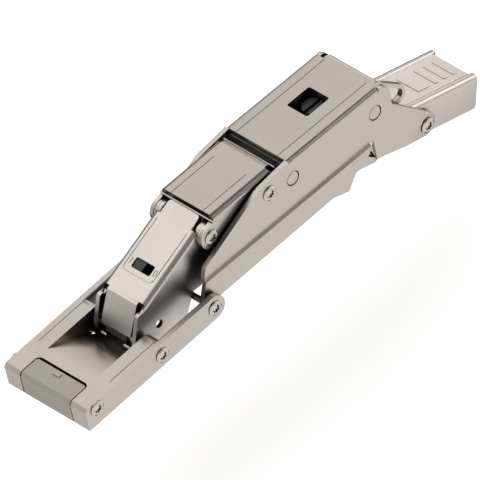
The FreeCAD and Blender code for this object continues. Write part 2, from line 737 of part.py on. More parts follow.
def plate_washers():
    """Washers between the arm's front ends and the rails."""
    return washers(ARM_PIVOT, ARM_PIN_WAIST + RUNNING_CLEARANCE, PIN_RADIUS * 2,
                   ARM_HALF + JOGGLE + SIDE_CLEARANCE, RAIL_INNER - SIDE_CLEARANCE)


def arm_wall_nodes():
    """Side outline of the arm's plates, from the front ears to the rear tip."""
    return [(*ARM_PIVOT, ARM_NOSE, "about"),
            (*from_point(ARM_PIVOT, 4.3, -0.7), 3.0),
            (*from_point(BRIDGE_PIVOT, 15.1, -14.55), 2.0),
            (*from_point(BRIDGE_PIVOT, 19.5, -16.3), 0.4),
            (*from_point(BRIDGE_PIVOT, 21.4, -14.2), 0.8),
            (*from_point(BRIDGE_PIVOT, 22.4, -13.3), 0.6),
            (*from_point(BRIDGE_PIVOT, 23.6, -13.35), 1.0),
            (*from_point(CHANNEL_PIVOT, -12.8, 2.15), 6.0),
            (*CHANNEL_PIVOT, TIP_RADIUS, "about"),
            (*from_point(CHANNEL_PIVOT, -0.5, 5.05), 1.2),
            (*from_point(REAR_RIVET, 4.7, -1.3), 0.3),
            (*from_point(REAR_RIVET, 5.2, 2.8), 1.2),
            (*from_point(REAR_RIVET, 3.2, 5.2), 0.8),
            on_arm(ARM_COVER, -ARM_BEND),
            on_arm(0, -ARM_BEND),
            on_arm(0, -0.1),
            (*from_point(BRIDGE_PIVOT, -2.6, 2.85), 2.5),
            (*from_point(ARM_PIVOT, 2.3, 8.4), 0.4)]


def joggled_section(offset):
    """Cross-section of one plate, its lower part set outward."""
    inner = ARM_INNER
    outer = ARM_HALF
    reach = LONG / 6
    return [(inner + offset, -reach), (outer + offset, -reach), (outer + offset, -JOGGLE_RISE), (outer, 0),
            (outer, reach), (inner, reach), (inner, 0), (inner + offset, -JOGGLE_RISE)]


def joggled_sheet():
    """Plate blank along the arm: joggled in front, running out flat to the rear."""
    def section(run, offset):
        wire = outline(joggled_section(offset), on_section)
        wire.translate(Vector(run, 0, 0))
        return wire
    front = Part.Face(section(-LONG / 4, JOGGLE)).extrude(Vector(LONG / 4 + JOGGLE_END, 0, 0))
    fade = Part.makeLoft([section(JOGGLE_END, JOGGLE), section(JOGGLE_END + JOGGLE_FADE, 0.01)], True, True)
    rear_start = JOGGLE_END + JOGGLE_FADE
    rear = box_between((rear_start, ARM_INNER, -LONG / 6), (LONG / 4, ARM_HALF, LONG / 6))
    sheet = front.multiFuse([fade, rear]).removeSplitter()
    x, z = on_arm(0, -JOGGLE_DROP)
    return pitched(x, z, -JOGGLE_PITCH)(sheet)


def arm_plate():
    """One side plate of the arm, with its rear tip bent inward."""
    solid = slab(arm_wall_nodes(), 0, PLATE_WIDTH)
    plate = solid.common(joggled_sheet())
    run = Vector(TIP_HIGH[0] - TIP_LOW[0], 0, TIP_HIGH[1] - TIP_LOW[1])
    angle = math.degrees(math.atan2(run.z, run.x))
    behind = pitched(*TIP_LOW, angle)(box_between((-LONG / 4, -LONG / 4, -LONG / 2), (LONG / 4, LONG / 4, 0)))
    tip = plate.common(behind)
    tip.rotate(Vector(TIP_LOW[0], ARM_HALF, TIP_LOW[1]), run, -TIP_ANGLE)
    plate = plate.cut(behind).fuse(tip).removeSplitter()
    dent = slab([from_point(BRIDGE_PIVOT, *corner) for corner in DENT_CORNERS], ARM_HALF - DENT_DEPTH,
                PLATE_WIDTH)
    return plate.cut(dent)


def arm_channel():
    """Main arm folded from one sheet: cover with window and two side plates."""
    cover = folded_channel(2 * ARM_HALF, ARM_BEND + 0.4, ARM_SHEET, ARM_BEND, 0, ARM_COVER, place_arm)
    arm = cover.multiFuse(both_sides(arm_plate()))
    window = rounded_plan(WINDOW_START, WINDOW_START + WINDOW_LENGTH, WINDOW_WIDTH / 2, WINDOW_CORNER,
                          -ARM_SHEET - 1, 1)
    arm = arm.cut(place_arm(window))
    for groove in both_sides(box_between((-1, ARM_LINE_OFFSET, -GROOVE_DEPTH),
                                         (ARM_COVER + 1, ARM_LINE_OFFSET + GROOVE_WIDTH, 1))):
        arm = arm.cut(place_arm(groove))
    arm = arm.cut(through(ARM_PIVOT, ARM_PIN_WAIST + RUNNING_CLEARANCE))
    arm = arm.cut(through(BRIDGE_PIVOT, LINK_PIN_RADIUS + FIXED_CLEARANCE))
    arm = arm.cut(through(CHANNEL_PIVOT, LINK_PIN_RADIUS + FIXED_CLEARANCE))
    for rivet in (FRONT_RIVET, REAR_RIVET):
        arm = arm.cut(through(rivet, RIVET_RADIUS + RIVET_GAP))
    return arm.removeSplitter()


def flush_rivet(centre):
    """Plain cross rivet, flush with the arm's plates."""
    return cross_rod(centre, RIVET_RADIUS, -ARM_HALF, ARM_HALF)


def spring_housing():
    """Plastic housing under the arm's cover, held by the front cross rivet."""
    half = ARM_INNER - PLAY
    top = -ARM_SHEET - PLAY / 3
    start = -HOUSING_FRONT_GAP
    end = arm_run(REAR_RIVET) - HOUSING_REAR_GAP
    nodes = [(*on_arm(start + HOUSING_RAKE, -HOUSING_DEPTH), 1.0), (*on_arm(end, -HOUSING_DEPTH), 1.0),
             (*on_arm(end, top), 0.5), (*on_arm(start, top), 0.5), (*on_arm(start, -HOUSING_NOSE), 1.0)]
    housing = slab(nodes, -half, half)
    well = rounded_plan(WINDOW_START - PLAY, WINDOW_START + WINDOW_LENGTH + PLAY, WINDOW_WIDTH / 2 + PLAY,
                        WINDOW_CORNER, top - WELL_DEPTH, 2)
    housing = housing.cut(place_arm(well))
    return housing.cut(through(FRONT_RIVET, RIVET_RADIUS + FIXED_CLEARANCE))


def adjusting_cam():
    """Round cam standing in the window's well."""
    floor = -ARM_SHEET - PLAY / 3 - WELL_DEPTH
    run = WINDOW_START + WINDOW_LENGTH - CAM_RADIUS
    cam = Part.makeCylinder(CAM_RADIUS, CAM_HEIGHT, Vector(run, 0, floor), Vector(0, 0, 1))
    slot = box_between((run - LONG, -0.4, floor + CAM_HEIGHT - 0.8), (run + LONG, 0.4, floor + CAM_HEIGHT + 1))
    return place_arm(cam.cut(slot))


def strip_corners():
    """Start and bend of the release lever's strip, on its middle line."""
    level = -ARM_SHEET - RELEASE_SHEET / 2 - PLAY
    front = on_arm(ARM_COVER - RELEASE_UNDER, level)
    rear = on_arm(ARM_COVER + RELEASE_REACH, level)
    return on_side(*front), on_side(*rear)


def flange_path():
    """Side line of the full-width strip: top and down-turned flange."""
    start, bend = strip_corners()
    return Part.Wire(rounded_run([start, bend, bend + Vector(FLANGE_RUN, 0, -FLANGE_DROP)], RELEASE_BEND))


def grip_path():
    """Side line of the grip: top, slope and open curl."""
    start, bend = strip_corners()
    middle = CURL_RADIUS - RELEASE_SHEET / 2
    centre = Vector(REAR_RIVET[0] + CURL_X, 0, REAR_RIVET[1] + CURL_Z)
    toward = bend - centre
    first = math.atan2(toward.z, toward.x) - math.acos(middle / toward.Length)
    last = -math.radians(CURL_END)
    points = []
    for angle in (first, (first + last) / 2, last):
        points.append(centre + Vector(math.cos(angle), 0, math.sin(angle)) * middle)
    run = rounded_run([start, bend, points[0]], RELEASE_SHEET)
    return Part.Wire(run + [Part.Arc(*points).toShape()])


def bent_strip(path, low, high):
    """Sheet of the release lever's thickness bent along a side line, between two values of Y."""
    start, bend = strip_corners()
    across = Vector(0, 0, RELEASE_SHEET / 2)
    corners = [start + Vector(0, low, 0) - across, start + Vector(0, high, 0) - across,
               start + Vector(0, high, 0) + across, start + Vector(0, low, 0) + across]
    section = Part.makePolygon(corners + corners[:1])
    return path.makePipeShell([section], True, False)


def release_lever():
    """Strip under the cover's rear edge, hung on the rear rivet, with one curled grip."""
    half = ARM_INNER - RELEASE_GAP
    strip = bent_strip(flange_path(), -half, half)
    grip = bent_strip(grip_path(), -half, GRIP_WIDTH - half)
    level = -ARM_SHEET - RELEASE_SHEET * 0.8 - PLAY
    ear = slab([(*REAR_RIVET, RELEASE_EAR, "about"), (*from_point(REAR_RIVET, *RELEASE_EAR_CORNER), 0.8),
                on_arm(ARM_COVER + RELEASE_EAR_TOP, level), on_arm(ARM_COVER - RELEASE_UNDER, level)],
               half - RELEASE_SHEET, half)
    lever = strip.multiFuse([grip] + both_sides(ear))
    return lever.cut(through(REAR_RIVET, RIVET_RADIUS + RUNNING_CLEARANCE)).removeSplitter()


def release_spring():
    """Torsion spring round the rear rivet, one leg to each side."""
    pitch = 2 * SPRING_WIRE + RUNNING_CLEARANCE
    coil = Part.makeHelix(pitch, pitch * SPRING_TURNS, SPRING_COIL_RADIUS)
    coil.rotate(Vector(0, 0, 0), Vector(1, 0, 0), -90)
    coil.rotate(Vector(0, 0, 0), Vector(0, 1, 0), -90)
    half = pitch * SPRING_TURNS / 2
    coil.translate(Vector(REAR_RIVET[0], -half, REAR_RIVET[1]))
    leg = Vector(SPRING_LEG, SPRING_LEG * pitch / (2 * math.pi * SPRING_COIL_RADIUS), 0)
    enter = Vector(REAR_RIVET[0], -half, REAR_RIVET[1] + SPRING_COIL_RADIUS)
    leave = enter + Vector(0, 2 * half, 0)
    edges = [Part.LineSegment(enter - leg, enter).toShape()] + coil.Edges
    edges.append(Part.LineSegment(leave, leave + leg).toShape())
    section = Part.Wire(Part.makeCircle(SPRING_WIRE, enter - leg, leg))
    return Part.Wire(edges).makePipeShell([section], True, False)


def channel_pin():
    """Pin between the arm's rear tips and the mounting channel."""
    return rivet_pin(CHANNEL_PIVOT, LINK_PIN_RADIUS, tip_face(CHANNEL_PIVOT, -HEAD_RADIUS) + SIDE_CLEARANCE)


def channel_washers():
    """Washers beside the mounting channel, on its pin."""
    start = CHANNEL_HALF + SIDE_CLEARANCE
    outer = LINK_PIN_RADIUS * 1.6
    end = tip_face(CHANNEL_PIVOT, outer) - ARM_SHEET - SIDE_CLEARANCE
    return washers(CHANNEL_PIVOT, LINK_PIN_RADIUS + FIXED_CLEARANCE, outer, start, end)


def channel_section():
    """Cross-section of the mounting channel: side walls, edge beads and sunk panel."""
    half = CHANNEL_HALF
    inner = CHANNEL_INNER
    bead = half - BEAD_WIDTH
    step = BEAD_HEIGHT
    sheet = CHANNEL_SHEET
    left = [(-bead + step / 2, -step, BEAD_ROUND), (-bead - step / 2, 0, BEAD_ROUND), (-half, 0, CHANNEL_BEND)]
    right = [(-y, z, r) for y, z, r in reversed(left)]
    under_left = [(-inner, -sheet, CHANNEL_BEND - sheet), (-bead, -sheet, BEAD_ROUND), (-bead + step, -sheet - step, BEAD_ROUND)]
    under_right = [(-y, z, r) for y, z, r in reversed(under_left)]
    foot = -CHANNEL_HEIGHT
    return [(-half, foot), (-inner, foot)] + under_left + under_right + [(inner, foot), (half, foot)] + right + left


def mount_channel():
    """Mounting channel with its stamped adjusting marks, open below."""
    face = Part.Face(outline(channel_section(), on_section))
    face.translate(Vector(-CHANNEL_FRONT, 0, CHANNEL_TOP))
    channel = face.extrude(Vector(CHANNEL_FRONT + CHANNEL_REAR, 0, 0))
    reach = CHANNEL_FRONT + CHANNEL_REAR
    foot = CHANNEL_TOP - CHANNEL_HEIGHT
    side = slab([(-reach, foot), (CHANNEL_REAR, foot, CHANNEL_CORNER), (CHANNEL_REAR, CHANNEL_TOP + 1),
                 (-reach, CHANNEL_TOP + 1)], -2 * CHANNEL_HALF, 2 * CHANNEL_HALF)
    channel = channel.common(side)
    panel = CHANNEL_TOP - BEAD_HEIGHT
    notch = box_between((CHANNEL_REAR - PANEL_SET_BACK, BEAD_WIDTH - CHANNEL_HALF, 0),
                        (2 * CHANNEL_REAR, CHANNEL_HALF - BEAD_WIDTH, 2 * CHANNEL_TOP))
    channel = channel.cut(notch)
    marks = []
    for place in range(STAMP_BARS + 1):
        end = CHANNEL_REAR - PANEL_SET_BACK - STAMP_START - place * STAMP_PITCH
        length = STAMP_SQUARE if place == STAMP_BARS else STAMP_BAR
        marks.append(rounded_plan(end - length, end, CHANNEL_HALF - STAMP_SET_IN, STAMP_CORNER,
                                  panel - CHANNEL_SHEET / 2, panel + STAMP_HEIGHT))
    channel = place_channel(channel.multiFuse(marks))
    return channel.cut(through(CHANNEL_PIVOT, LINK_PIN_RADIUS + FIXED_CLEARANCE)).removeSplitter()


NODES = {
    "mount_channel": mount_channel,
    "channel_pin": channel_pin,
    "channel_washers": channel_washers,
    "arm_channel": arm_channel,
    "front_rivet": lambda: flush_rivet(FRONT_RIVET),
    "rear_rivet": lambda: flush_rivet(REAR_RIVET),
    "spring_housing": spring_housing,
    "adjusting_cam": adjusting_cam,
    "release_lever": release_lever,
    "release_spring": release_spring,
    "bridge_pin": bridge_pin,
    "bridge_washers": bridge_washers,
    "bridge_link": bridge_link,
    "joint_pin": joint_pin,
    "lever_washers": lever_washers,
    "lever_channel": lever_channel,
    "damper_housing": damper_housing,
    "damper_switch": damper_switch,
    "lever_spring": lever_spring,
    "cup_body": cup_body,
    "lever_pin": lever_pin,
    "lever_roller": lever_roller,
    "arm_pin": arm_pin,
    "plate_washers": plate_washers,
    "lock_flap": lock_flap,
    "lock_tab": lock_tab,
    "lock_pin": lock_pin,
}


def main():
    os.makedirs("parts", exist_ok=True)
    for name, build in NODES.items():
        shape = build().copy()
        shape.translate(Vector(-SEAT_CENTRE, 0, 0))
        shape.exportStep("parts/" + name + ".step")


main()
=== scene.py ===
import json
import math

import bmesh
import bpy
from bpy.props import FloatProperty, FloatVectorProperty, IntProperty, PointerProperty
from bpy.types import Operator, Panel, PropertyGroup
from mathutils import Matrix, Vector


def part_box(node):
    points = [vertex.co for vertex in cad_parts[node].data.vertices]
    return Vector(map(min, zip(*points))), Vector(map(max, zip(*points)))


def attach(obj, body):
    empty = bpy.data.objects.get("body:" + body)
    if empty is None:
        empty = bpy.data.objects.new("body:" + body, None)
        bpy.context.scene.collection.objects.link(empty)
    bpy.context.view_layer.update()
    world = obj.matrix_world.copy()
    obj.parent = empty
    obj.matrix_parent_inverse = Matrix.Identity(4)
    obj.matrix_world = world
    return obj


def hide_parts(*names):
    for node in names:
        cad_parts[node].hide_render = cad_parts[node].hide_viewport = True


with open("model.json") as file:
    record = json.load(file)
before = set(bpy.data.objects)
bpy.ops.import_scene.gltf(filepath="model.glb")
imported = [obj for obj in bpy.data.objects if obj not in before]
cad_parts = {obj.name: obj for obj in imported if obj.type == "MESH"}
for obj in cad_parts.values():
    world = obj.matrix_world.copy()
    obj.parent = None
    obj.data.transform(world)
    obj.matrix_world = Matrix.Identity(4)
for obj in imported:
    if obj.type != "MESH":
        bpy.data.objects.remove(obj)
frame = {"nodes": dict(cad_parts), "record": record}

bl_info = {
    "name": "Concealed hinge look",
    "version": (1, 0, 0),
    "blender": (4, 5, 0),
    "location": "3D View > Sidebar > Hinge",
    "description": "Finish, rivet heads, marks and studio of a concealed cabinet hinge",
    "category": "Object",
}

MM = 0.001

# Nodes shown as bevelled copies, with their material slot
SHEETS = {
    # The mount channel takes the lighter lever nickel, painted light
    "mount_channel": "nickel_lever",
    "arm_channel": "nickel_sheet",
    "bridge_link": "nickel_sheet",
    "lever_channel": "nickel_lever",
    "release_lever": "nickel_sheet",
    "cup_body": "nickel_sheet",
    "lock_flap": "nickel_casting",
    "front_rivet": "nickel_sheet",
    "rear_rivet": "nickel_sheet",
}

# Pieces whose edges are broken wider than the sheets', as a factor
WIDE_EDGES = {"front_rivet": 2.8, "rear_rivet": 2.8}

# Small webs of the lever's walls: closed outlines in the side view, in millimetres
WEB_REAR = [(29.8, 5.3), (35.6, 10.9), (35.4, 15.0), (32.0, 13.0), (29.9, 8.0)]
WEB_FOOT = [(12.0, 1.4), (14.5, 0.0), (20.7, -0.55), (23.6, 0.3), (24.3, 1.6), (20.0, 1.7), (13.0, 2.3)]

# Inner and outer face of a web, from the middle plane, in millimetres
WEB_INNER = 5.15
WEB_OUTER = 6.05

# Pins shown with star-recessed heads, with the radius of their shafts in millimetres
PINS = {
    "lock_pin": 1.0,
    "lever_pin": 1.0,
    "arm_pin": 0.72,
    "joint_pin": 1.25,
    "bridge_pin": 1.25,
    "channel_pin": 1.25,
}

# Steps round a head, a rounded star tip, a pin's shaft, a rolled edge and the ring mark
HEAD_STEPS = 40
TIP_STEPS = 3
SHAFT_STEPS = 32
ROLL_STEPS = 20
RING_STEPS = 28

# Radius of the rounded star tips and distance within which vertices merge, in millimetres
TIP_ROUND = 0.08
MERGE_GAP = 0.002

# Faces that meet at less than this angle become one face
FLAT_ANGLE = math.radians(0.4)

# Angle from which edges are shaded sharp, which on sheets none are, because their bevel follows
SHEET_SHARP = math.radians(180)
PIN_SHARP = math.radians(20)
ROLL_SHARP = math.radians(30)

# Width of the ring mark as a share of its length, and its extra distance from the window
RING_NARROW = 0.62
RING_SHIFT = 0.1 * MM

# Height of the printed marks over the cover
MARK_LIFT = 0.012 * MM

# Roughness and darkness that the casting adds to the plating's own, and roughness that pins lack
CASTING_ROUGHER = 0.2
CASTING_DARKER = 0.03
PIN_SMOOTHER = 0.08

# Roughness of the plastics and of the marks
PLASTIC_ROUGHNESS = 0.42
CAM_ROUGHNESS = 0.5
TAB_ROUGHNESS = 0.5
INK_ROUGHNESS = 0.6

# Cloudy patches of the plating's gloss, per metre
CLOUD_SCALE = 90.0

# Painted shade of the metal by how open its place is, from shut in to open
PAINTED_SHADE_BY_OPENNESS = [(0.2, (0.14, 0.115, 0.10)), (0.68, (1.0, 1.0, 1.0))]

# Brightness of the room by degrees from the far horizon over the top to the near one
ROOM_LIGHT = [
    (0, 0.01),
    (14, 0.02),
    (25, 0.13),
    (35, 0.60),
    (46, 1.00),
    (74, 0.92),
    (84, 0.03),
    (128, 0.05),
    (140, 0.36),
    (152, 0.40),
    (160, 0.08),
    (174, 0.08),
    (180, 0.25),
]

# Light added to it for directions to the channel's end, by the same degrees
END_LIGHT = [(104, 0.0), (112, 1.7), (158, 1.7), (168, 0.0)]

# X of a direction where the end's light begins and is full, and where the front wall does
END_LEAN = (0.52, 0.66)
FRONT_LEAN = (-0.15, -0.5)

# Floor as the metal sees it, a painted reflection with a painted shadow under and behind the hinge: axis,
# place where it is dark, place where it is bright, brightness
PAINTED_FLOOR_REFLECTION = [
    ("Y", -0.012, -0.026, 0.97),
    ("X", -0.010, -0.026, 0.74),
    ("X", 0.22, 0.26, 0.80),
    ("Y", 0.13, 0.17, 0.42),
]
# Brightness of that painted shadow on the floor, seen only in the metal
PAINTED_FLOOR_SHADOW = 0.03

# Floor itself: half its width in metres, its colour and its roughness
FLOOR_HALF = 6.0
FLOOR_WHITE = (0.93, 0.93, 0.93, 1.0)
FLOOR_ROUGHNESS = 0.9

# Colour of the light that the metal sees, and of what the camera sees
STUDIO_TINT = (1.0, 0.985, 0.97, 1.0)
WHITE = (1.0, 1.0, 1.0, 1.0)

# Direction from the hinge back to the camera, and the camera's own up
CAMERA_BACK = (-0.4071, -0.5775, 0.7078)
CAMERA_UP = (0.6069, 0.4083, 0.6821)

# Width of the camera's sensor in millimetres
SENSOR_WIDTH = 36.0

# Cards of light: direction from their target, distance and side in metres
CARD_PLACE = ((-0.25, 0.45, 0.9), 0.9, 1.2)
REAR_CARD_PLACE = ((0.755, 0.577, 0.31), 0.1, 0.05)

# Point that the rear card looks at
REAR_CARD_TARGET = (0.09, 0.0, 0.002)


class HingeFinishSettings(PropertyGroup):
    """Surface finish, with the reach of the painted shade."""

    grain: FloatProperty(name="Grain scale", description="Grains per metre", default=2600.0, min=1.0)
    grain_depth: FloatProperty(
        name="Grain depth", description="Height of the grain", default=0.004 * MM, unit="LENGTH", precision=6
    )
    tint: FloatProperty(
        name="Grain tint", description="Lightness change of the grain", default=0.035, subtype="FACTOR"
    )
    roughness: FloatProperty(
        name="Roughness", description="Gloss of the plating", default=0.3, subtype="FACTOR"
    )
    # Reach of the painted shade, within which faces darken each other's colour
    painted_shade_reach: FloatProperty(
        name="Hollow reach",
        description="Distance within which faces darken each other",
        default=5.5 * MM,
        unit="LENGTH",
    )
    sheet: FloatVectorProperty(
        name="Sheet", description="Nickel of the folded sheets", default=(0.385, 0.35, 0.32), subtype="COLOR"
    )
    # Lighter copy of the sheets' nickel, painted light that brightens the lever and the mount channel
    lever: FloatVectorProperty(
        name="Lever", description="Nickel of lever and channel", default=(0.425, 0.39, 0.36), subtype="COLOR"
    )
    casting: FloatVectorProperty(
        name="Casting", description="Nickel of the lock flap", default=(0.35, 0.32, 0.287), subtype="COLOR"
    )
    pin: FloatVectorProperty(
        name="Pins", description="Nickel of pins and washers", default=(0.42, 0.385, 0.355), subtype="COLOR"
    )
    wire: FloatVectorProperty(
        name="Wire", description="Steel of the springs", default=(0.38, 0.35, 0.325), subtype="COLOR"
    )
    plastic: FloatVectorProperty(
        name="Plastic",
        description="Black housings and switch",
        default=(0.008, 0.008, 0.009),
        subtype="COLOR",
    )
    # The cam's own dark grey, darkened further as painted shade of the window's well
    cam: FloatVectorProperty(
        name="Cam", description="Dark cam in the window", default=(0.008, 0.009, 0.010), subtype="COLOR"
    )
    tab: FloatVectorProperty(
        name="Tab", description="Pale tab of the lock flap", default=(0.42, 0.40, 0.37), subtype="COLOR"
    )
    ink: FloatVectorProperty(
        name="Marks", description="Marks beside the switch", default=(0.05, 0.045, 0.04), subtype="COLOR"
    )


class HingeSheetSettings(PropertyGroup):
    """Edges of the sheet parts."""

    bevel: FloatProperty(
        name="Edge round", description="Width of the broken edges", default=0.1 * MM, unit="LENGTH"
    )
    segments: IntProperty(
        name="Segments", description="Steps across each broken edge", default=2, min=1, max=4
    )
    limit: FloatProperty(
        name="Edge angle",
        description="Edges sharper than this are broken",
        default=math.radians(32),
        subtype="ANGLE",
    )


class HingeHeadSettings(PropertyGroup):
    """Riveted pin heads."""

    radius: FloatProperty(
        name="Head radius", description="Outer radius of a head", default=1.75 * MM, unit="LENGTH"
    )
    height: FloatProperty(
        name="Head height", description="Height over the face", default=0.3 * MM, unit="LENGTH"
    )
    edge: FloatProperty(name="Edge", description="Width of the sloped rim", default=0.3 * MM, unit="LENGTH")
    recess_outer: FloatProperty(
        name="Star tip radius", description="Radius at the recess's points", default=1.2 * MM, unit="LENGTH"
    )
    recess_inner: FloatProperty(
        name="Star root radius", description="Radius between the points", default=0.78 * MM, unit="LENGTH"
    )
    recess_depth: FloatProperty(
        name="Recess depth", description="Depth of the star recess", default=0.55 * MM, unit="LENGTH"
    )
    lobes: IntProperty(name="Lobes", description="Points of the star", default=8, min=4, max=12)


class HingeTrimSettings(PropertyGroup):
    """Rolled edges of the link and marks of the damper switch."""

    roll_radius: FloatProperty(
        name="Roll radius", description="Radius of the link's rolled edges", default=0.2 * MM, unit="LENGTH"
    )
    front_roll: FloatVectorProperty(
        name="Front roll",
        description="Place of the front rolled edge",
        default=(0.0343, 0.0, 0.01965),
        subtype="TRANSLATION",
    )
    rear_roll: FloatVectorProperty(
        name="Rear roll",
        description="Place of the rear rolled edge",
        default=(0.0534, 0.0, 0.0189),
        subtype="TRANSLATION",
    )
    roll_half: FloatProperty(
        name="Roll half length",
        description="Half the length of a rolled edge",
        default=7.4 * MM,
        unit="LENGTH",
    )
    mark_place: FloatVectorProperty(
        name="Mark place",
        description="Middle of the switch window on the cover",
        default=(0.01991, 0.0, 0.01407),
        subtype="TRANSLATION",
    )
    mark_pitch: FloatProperty(
        name="Cover pitch",
        description="Slope of the lever's cover",
        default=math.radians(21.0),
        subtype="ANGLE",
    )
    mark_side: FloatProperty(
        name="Mark offset",
        description="Distance of the marks from the middle",
        default=3.45 * MM,
        unit="LENGTH",
    )
    mark_length: FloatProperty(
        name="Mark length", description="Length of a mark", default=1.5 * MM, unit="LENGTH"
    )
    mark_stroke: FloatProperty(
        name="Mark stroke", description="Width of the strokes", default=0.15 * MM, unit="LENGTH"
    )


class HingeStageSettings(PropertyGroup):
    """Studio."""

    target: FloatVectorProperty(
        name="Target",
        description="Point on the camera's axis",
        default=(0.0454, 0.0, -0.0005),
        subtype="TRANSLATION",
    )
    lens: FloatProperty(name="Lens", description="Focal length in millimetres", default=1600.0, min=1.0)
    frame_width: FloatProperty(
        name="Frame width", description="Width seen at the target", default=0.1, unit="LENGTH"
    )
    floor_drop: FloatProperty(
        name="Floor level", description="Height of the floor", default=-0.03, unit="LENGTH"
    )
    floor_light: FloatProperty(
        name="Floor light",
        description="Extra brightness of the floor for the camera",
        default=0.4,
        min=0.0,
    )
    world: FloatProperty(name="World", description="Strength of the room", default=1.5, min=0.0)
    front_wall: FloatProperty(
        name="Front wall",
        description="Brightness of the room ahead of the hinge",
        default=0.56,
        min=0.0,
    )
    card: FloatProperty(
        name="Card power", description="Power of the overhead card, in watts", default=2.2, min=0.0
    )
    rear_card: FloatProperty(
        name="Rear card power",
        description="Power of the small card behind the channel, in watts",
        default=0.0095,
        min=0.0,
    )


def link(obj):
    """Puts an object into the scene."""
    bpy.context.scene.collection.objects.link(obj)
    return obj


def body_of_node(node):
    """Name of the CAD body that holds a node."""
    for body, members in frame["record"]["behaviour"]["bodies"].items():
        if node in members:
            return body
    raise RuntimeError("no body holds " + node)


def shade_by_angle(mesh, limit):
    """Smooth faces, with edges sharper than the limit kept sharp."""
    work = bmesh.new()
    work.from_mesh(mesh)
    for face in work.faces:
        face.smooth = True
    for edge in work.edges:
        edge.smooth = edge.calc_face_angle(0.0) < limit
    work.to_mesh(mesh)
    work.free()


def baked(obj, name):
    """Plain-mesh copy of an object with its modifiers applied; the source object goes."""
    bpy.context.view_layer.update()
    graph = bpy.context.evaluated_depsgraph_get()
    mesh = bpy.data.meshes.new_from_object(obj.evaluated_get(graph))
    bpy.data.objects.remove(obj)
    mesh.name = name
    return link(bpy.data.objects.new(name, mesh))


def bevelled_copy(node, settings):
    """Merged, edge-broken copy of one CAD node."""
    mesh = frame["nodes"][node].data.copy()
    mesh.materials.clear()
    work = bmesh.new()
    work.from_mesh(mesh)
    bmesh.ops.remove_doubles(work, verts=work.verts, dist=MERGE_GAP * MM)
    bmesh.ops.dissolve_limit(
        work, angle_limit=FLAT_ANGLE, verts=work.verts, edges=work.edges, delimit=set()
    )
    work.to_mesh(mesh)
    work.free()
    shade_by_angle(mesh, SHEET_SHARP)
    source = link(bpy.data.objects.new(node + "_source", mesh))
    bevel = source.modifiers.new("edges", "BEVEL")
    bevel.width = settings.bevel * WIDE_EDGES.get(node, 1.0)
    bevel.segments = settings.segments
    bevel.limit_method = "ANGLE"
    bevel.angle_limit = settings.limit
    bevel.use_clamp_overlap = True
    bevel.miter_outer = "MITER_ARC"
    bevel.face_strength_mode = "FSTR_AFFECTED"
    flat = source.modifiers.new("flat", "WEIGHTED_NORMAL")
    flat.mode = "FACE_AREA"
    flat.weight = 100
    flat.thresh = 0.0
    flat.use_face_influence = True
    return baked(source, node + "_skin")


class Nodes:
    """Short hand for building a node tree."""

    def __init__(self, tree):
        self.tree = tree
        self.count = 0

    def add(self, kind, values=None, **settings):
        """New node with its settings, input constants and input links."""
        node = self.tree.nodes.new(kind)
        node.location = (220 * (self.count % 8), -260 * (self.count // 8))
        self.count += 1
        for name, value in settings.items():
            setattr(node, name, value)
        for name, value in (values or {}).items():
            socket = node.inputs[name]
            if isinstance(value, bpy.types.NodeSocket):
                self.tree.links.new(value, socket)
            else:
                socket.default_value = value
        return node

    def ramp(self, factor, stops):
        """Colour ramp through the given places and colours; returns its colour output."""
        node = self.add("ShaderNodeValToRGB", {"Fac": factor})
        elements = node.color_ramp.elements
        while len(elements) < len(stops):
            elements.new(0.5)
        for element, (place, colour) in zip(elements, stops):
            element.position = place
            element.color = list(colour) + [1.0]
        return node.outputs["Color"]

    def math(self, operation, *values):
        """Result of one calculation on one or two values."""
        node = self.add("ShaderNodeMath", dict(enumerate(values)), operation=operation)
        return node.outputs[0]

    def span(self, value, start, end, first, last, blend="LINEAR"):
        """Value taken from the span start..end to the span first..last."""
        spans = {"Value": value, "From Min": start, "From Max": end, "To Min": first, "To Max": last}
        return self.add("ShaderNodeMapRange", spans, interpolation_type=blend).outputs[0]

    def raised(self, shape, height):
        """Shape moved along Z."""
        lift = self.add("ShaderNodeCombineXYZ", {"Z": height}).outputs[0]
        moved = self.add("GeometryNodeTransform", {"Geometry": shape, "Translation": lift})
        return moved.outputs["Geometry"]

    def cone(self, top, bottom, depth):
        """Open cone of the head."""
        sizes = {"Vertices": HEAD_STEPS, "Radius Top": top, "Radius Bottom": bottom, "Depth": depth}
        return self.add("GeometryNodeMeshCone", sizes, fill_type="NONE").outputs["Mesh"]

    def joined(self, *shapes):
        """Shapes as one geometry."""
        node = self.add("GeometryNodeJoinGeometry")
        for shape in shapes:
            self.tree.links.new(shape, node.inputs["Geometry"])
        return node.outputs["Geometry"]


def input_socket(tree, name, kind, value):
    """Named input of a node group; returns its identifier."""
    socket = tree.interface.new_socket(name=name, in_out="INPUT", socket_type=kind)
    if value is not None:
        socket.default_value = value
    return socket.identifier


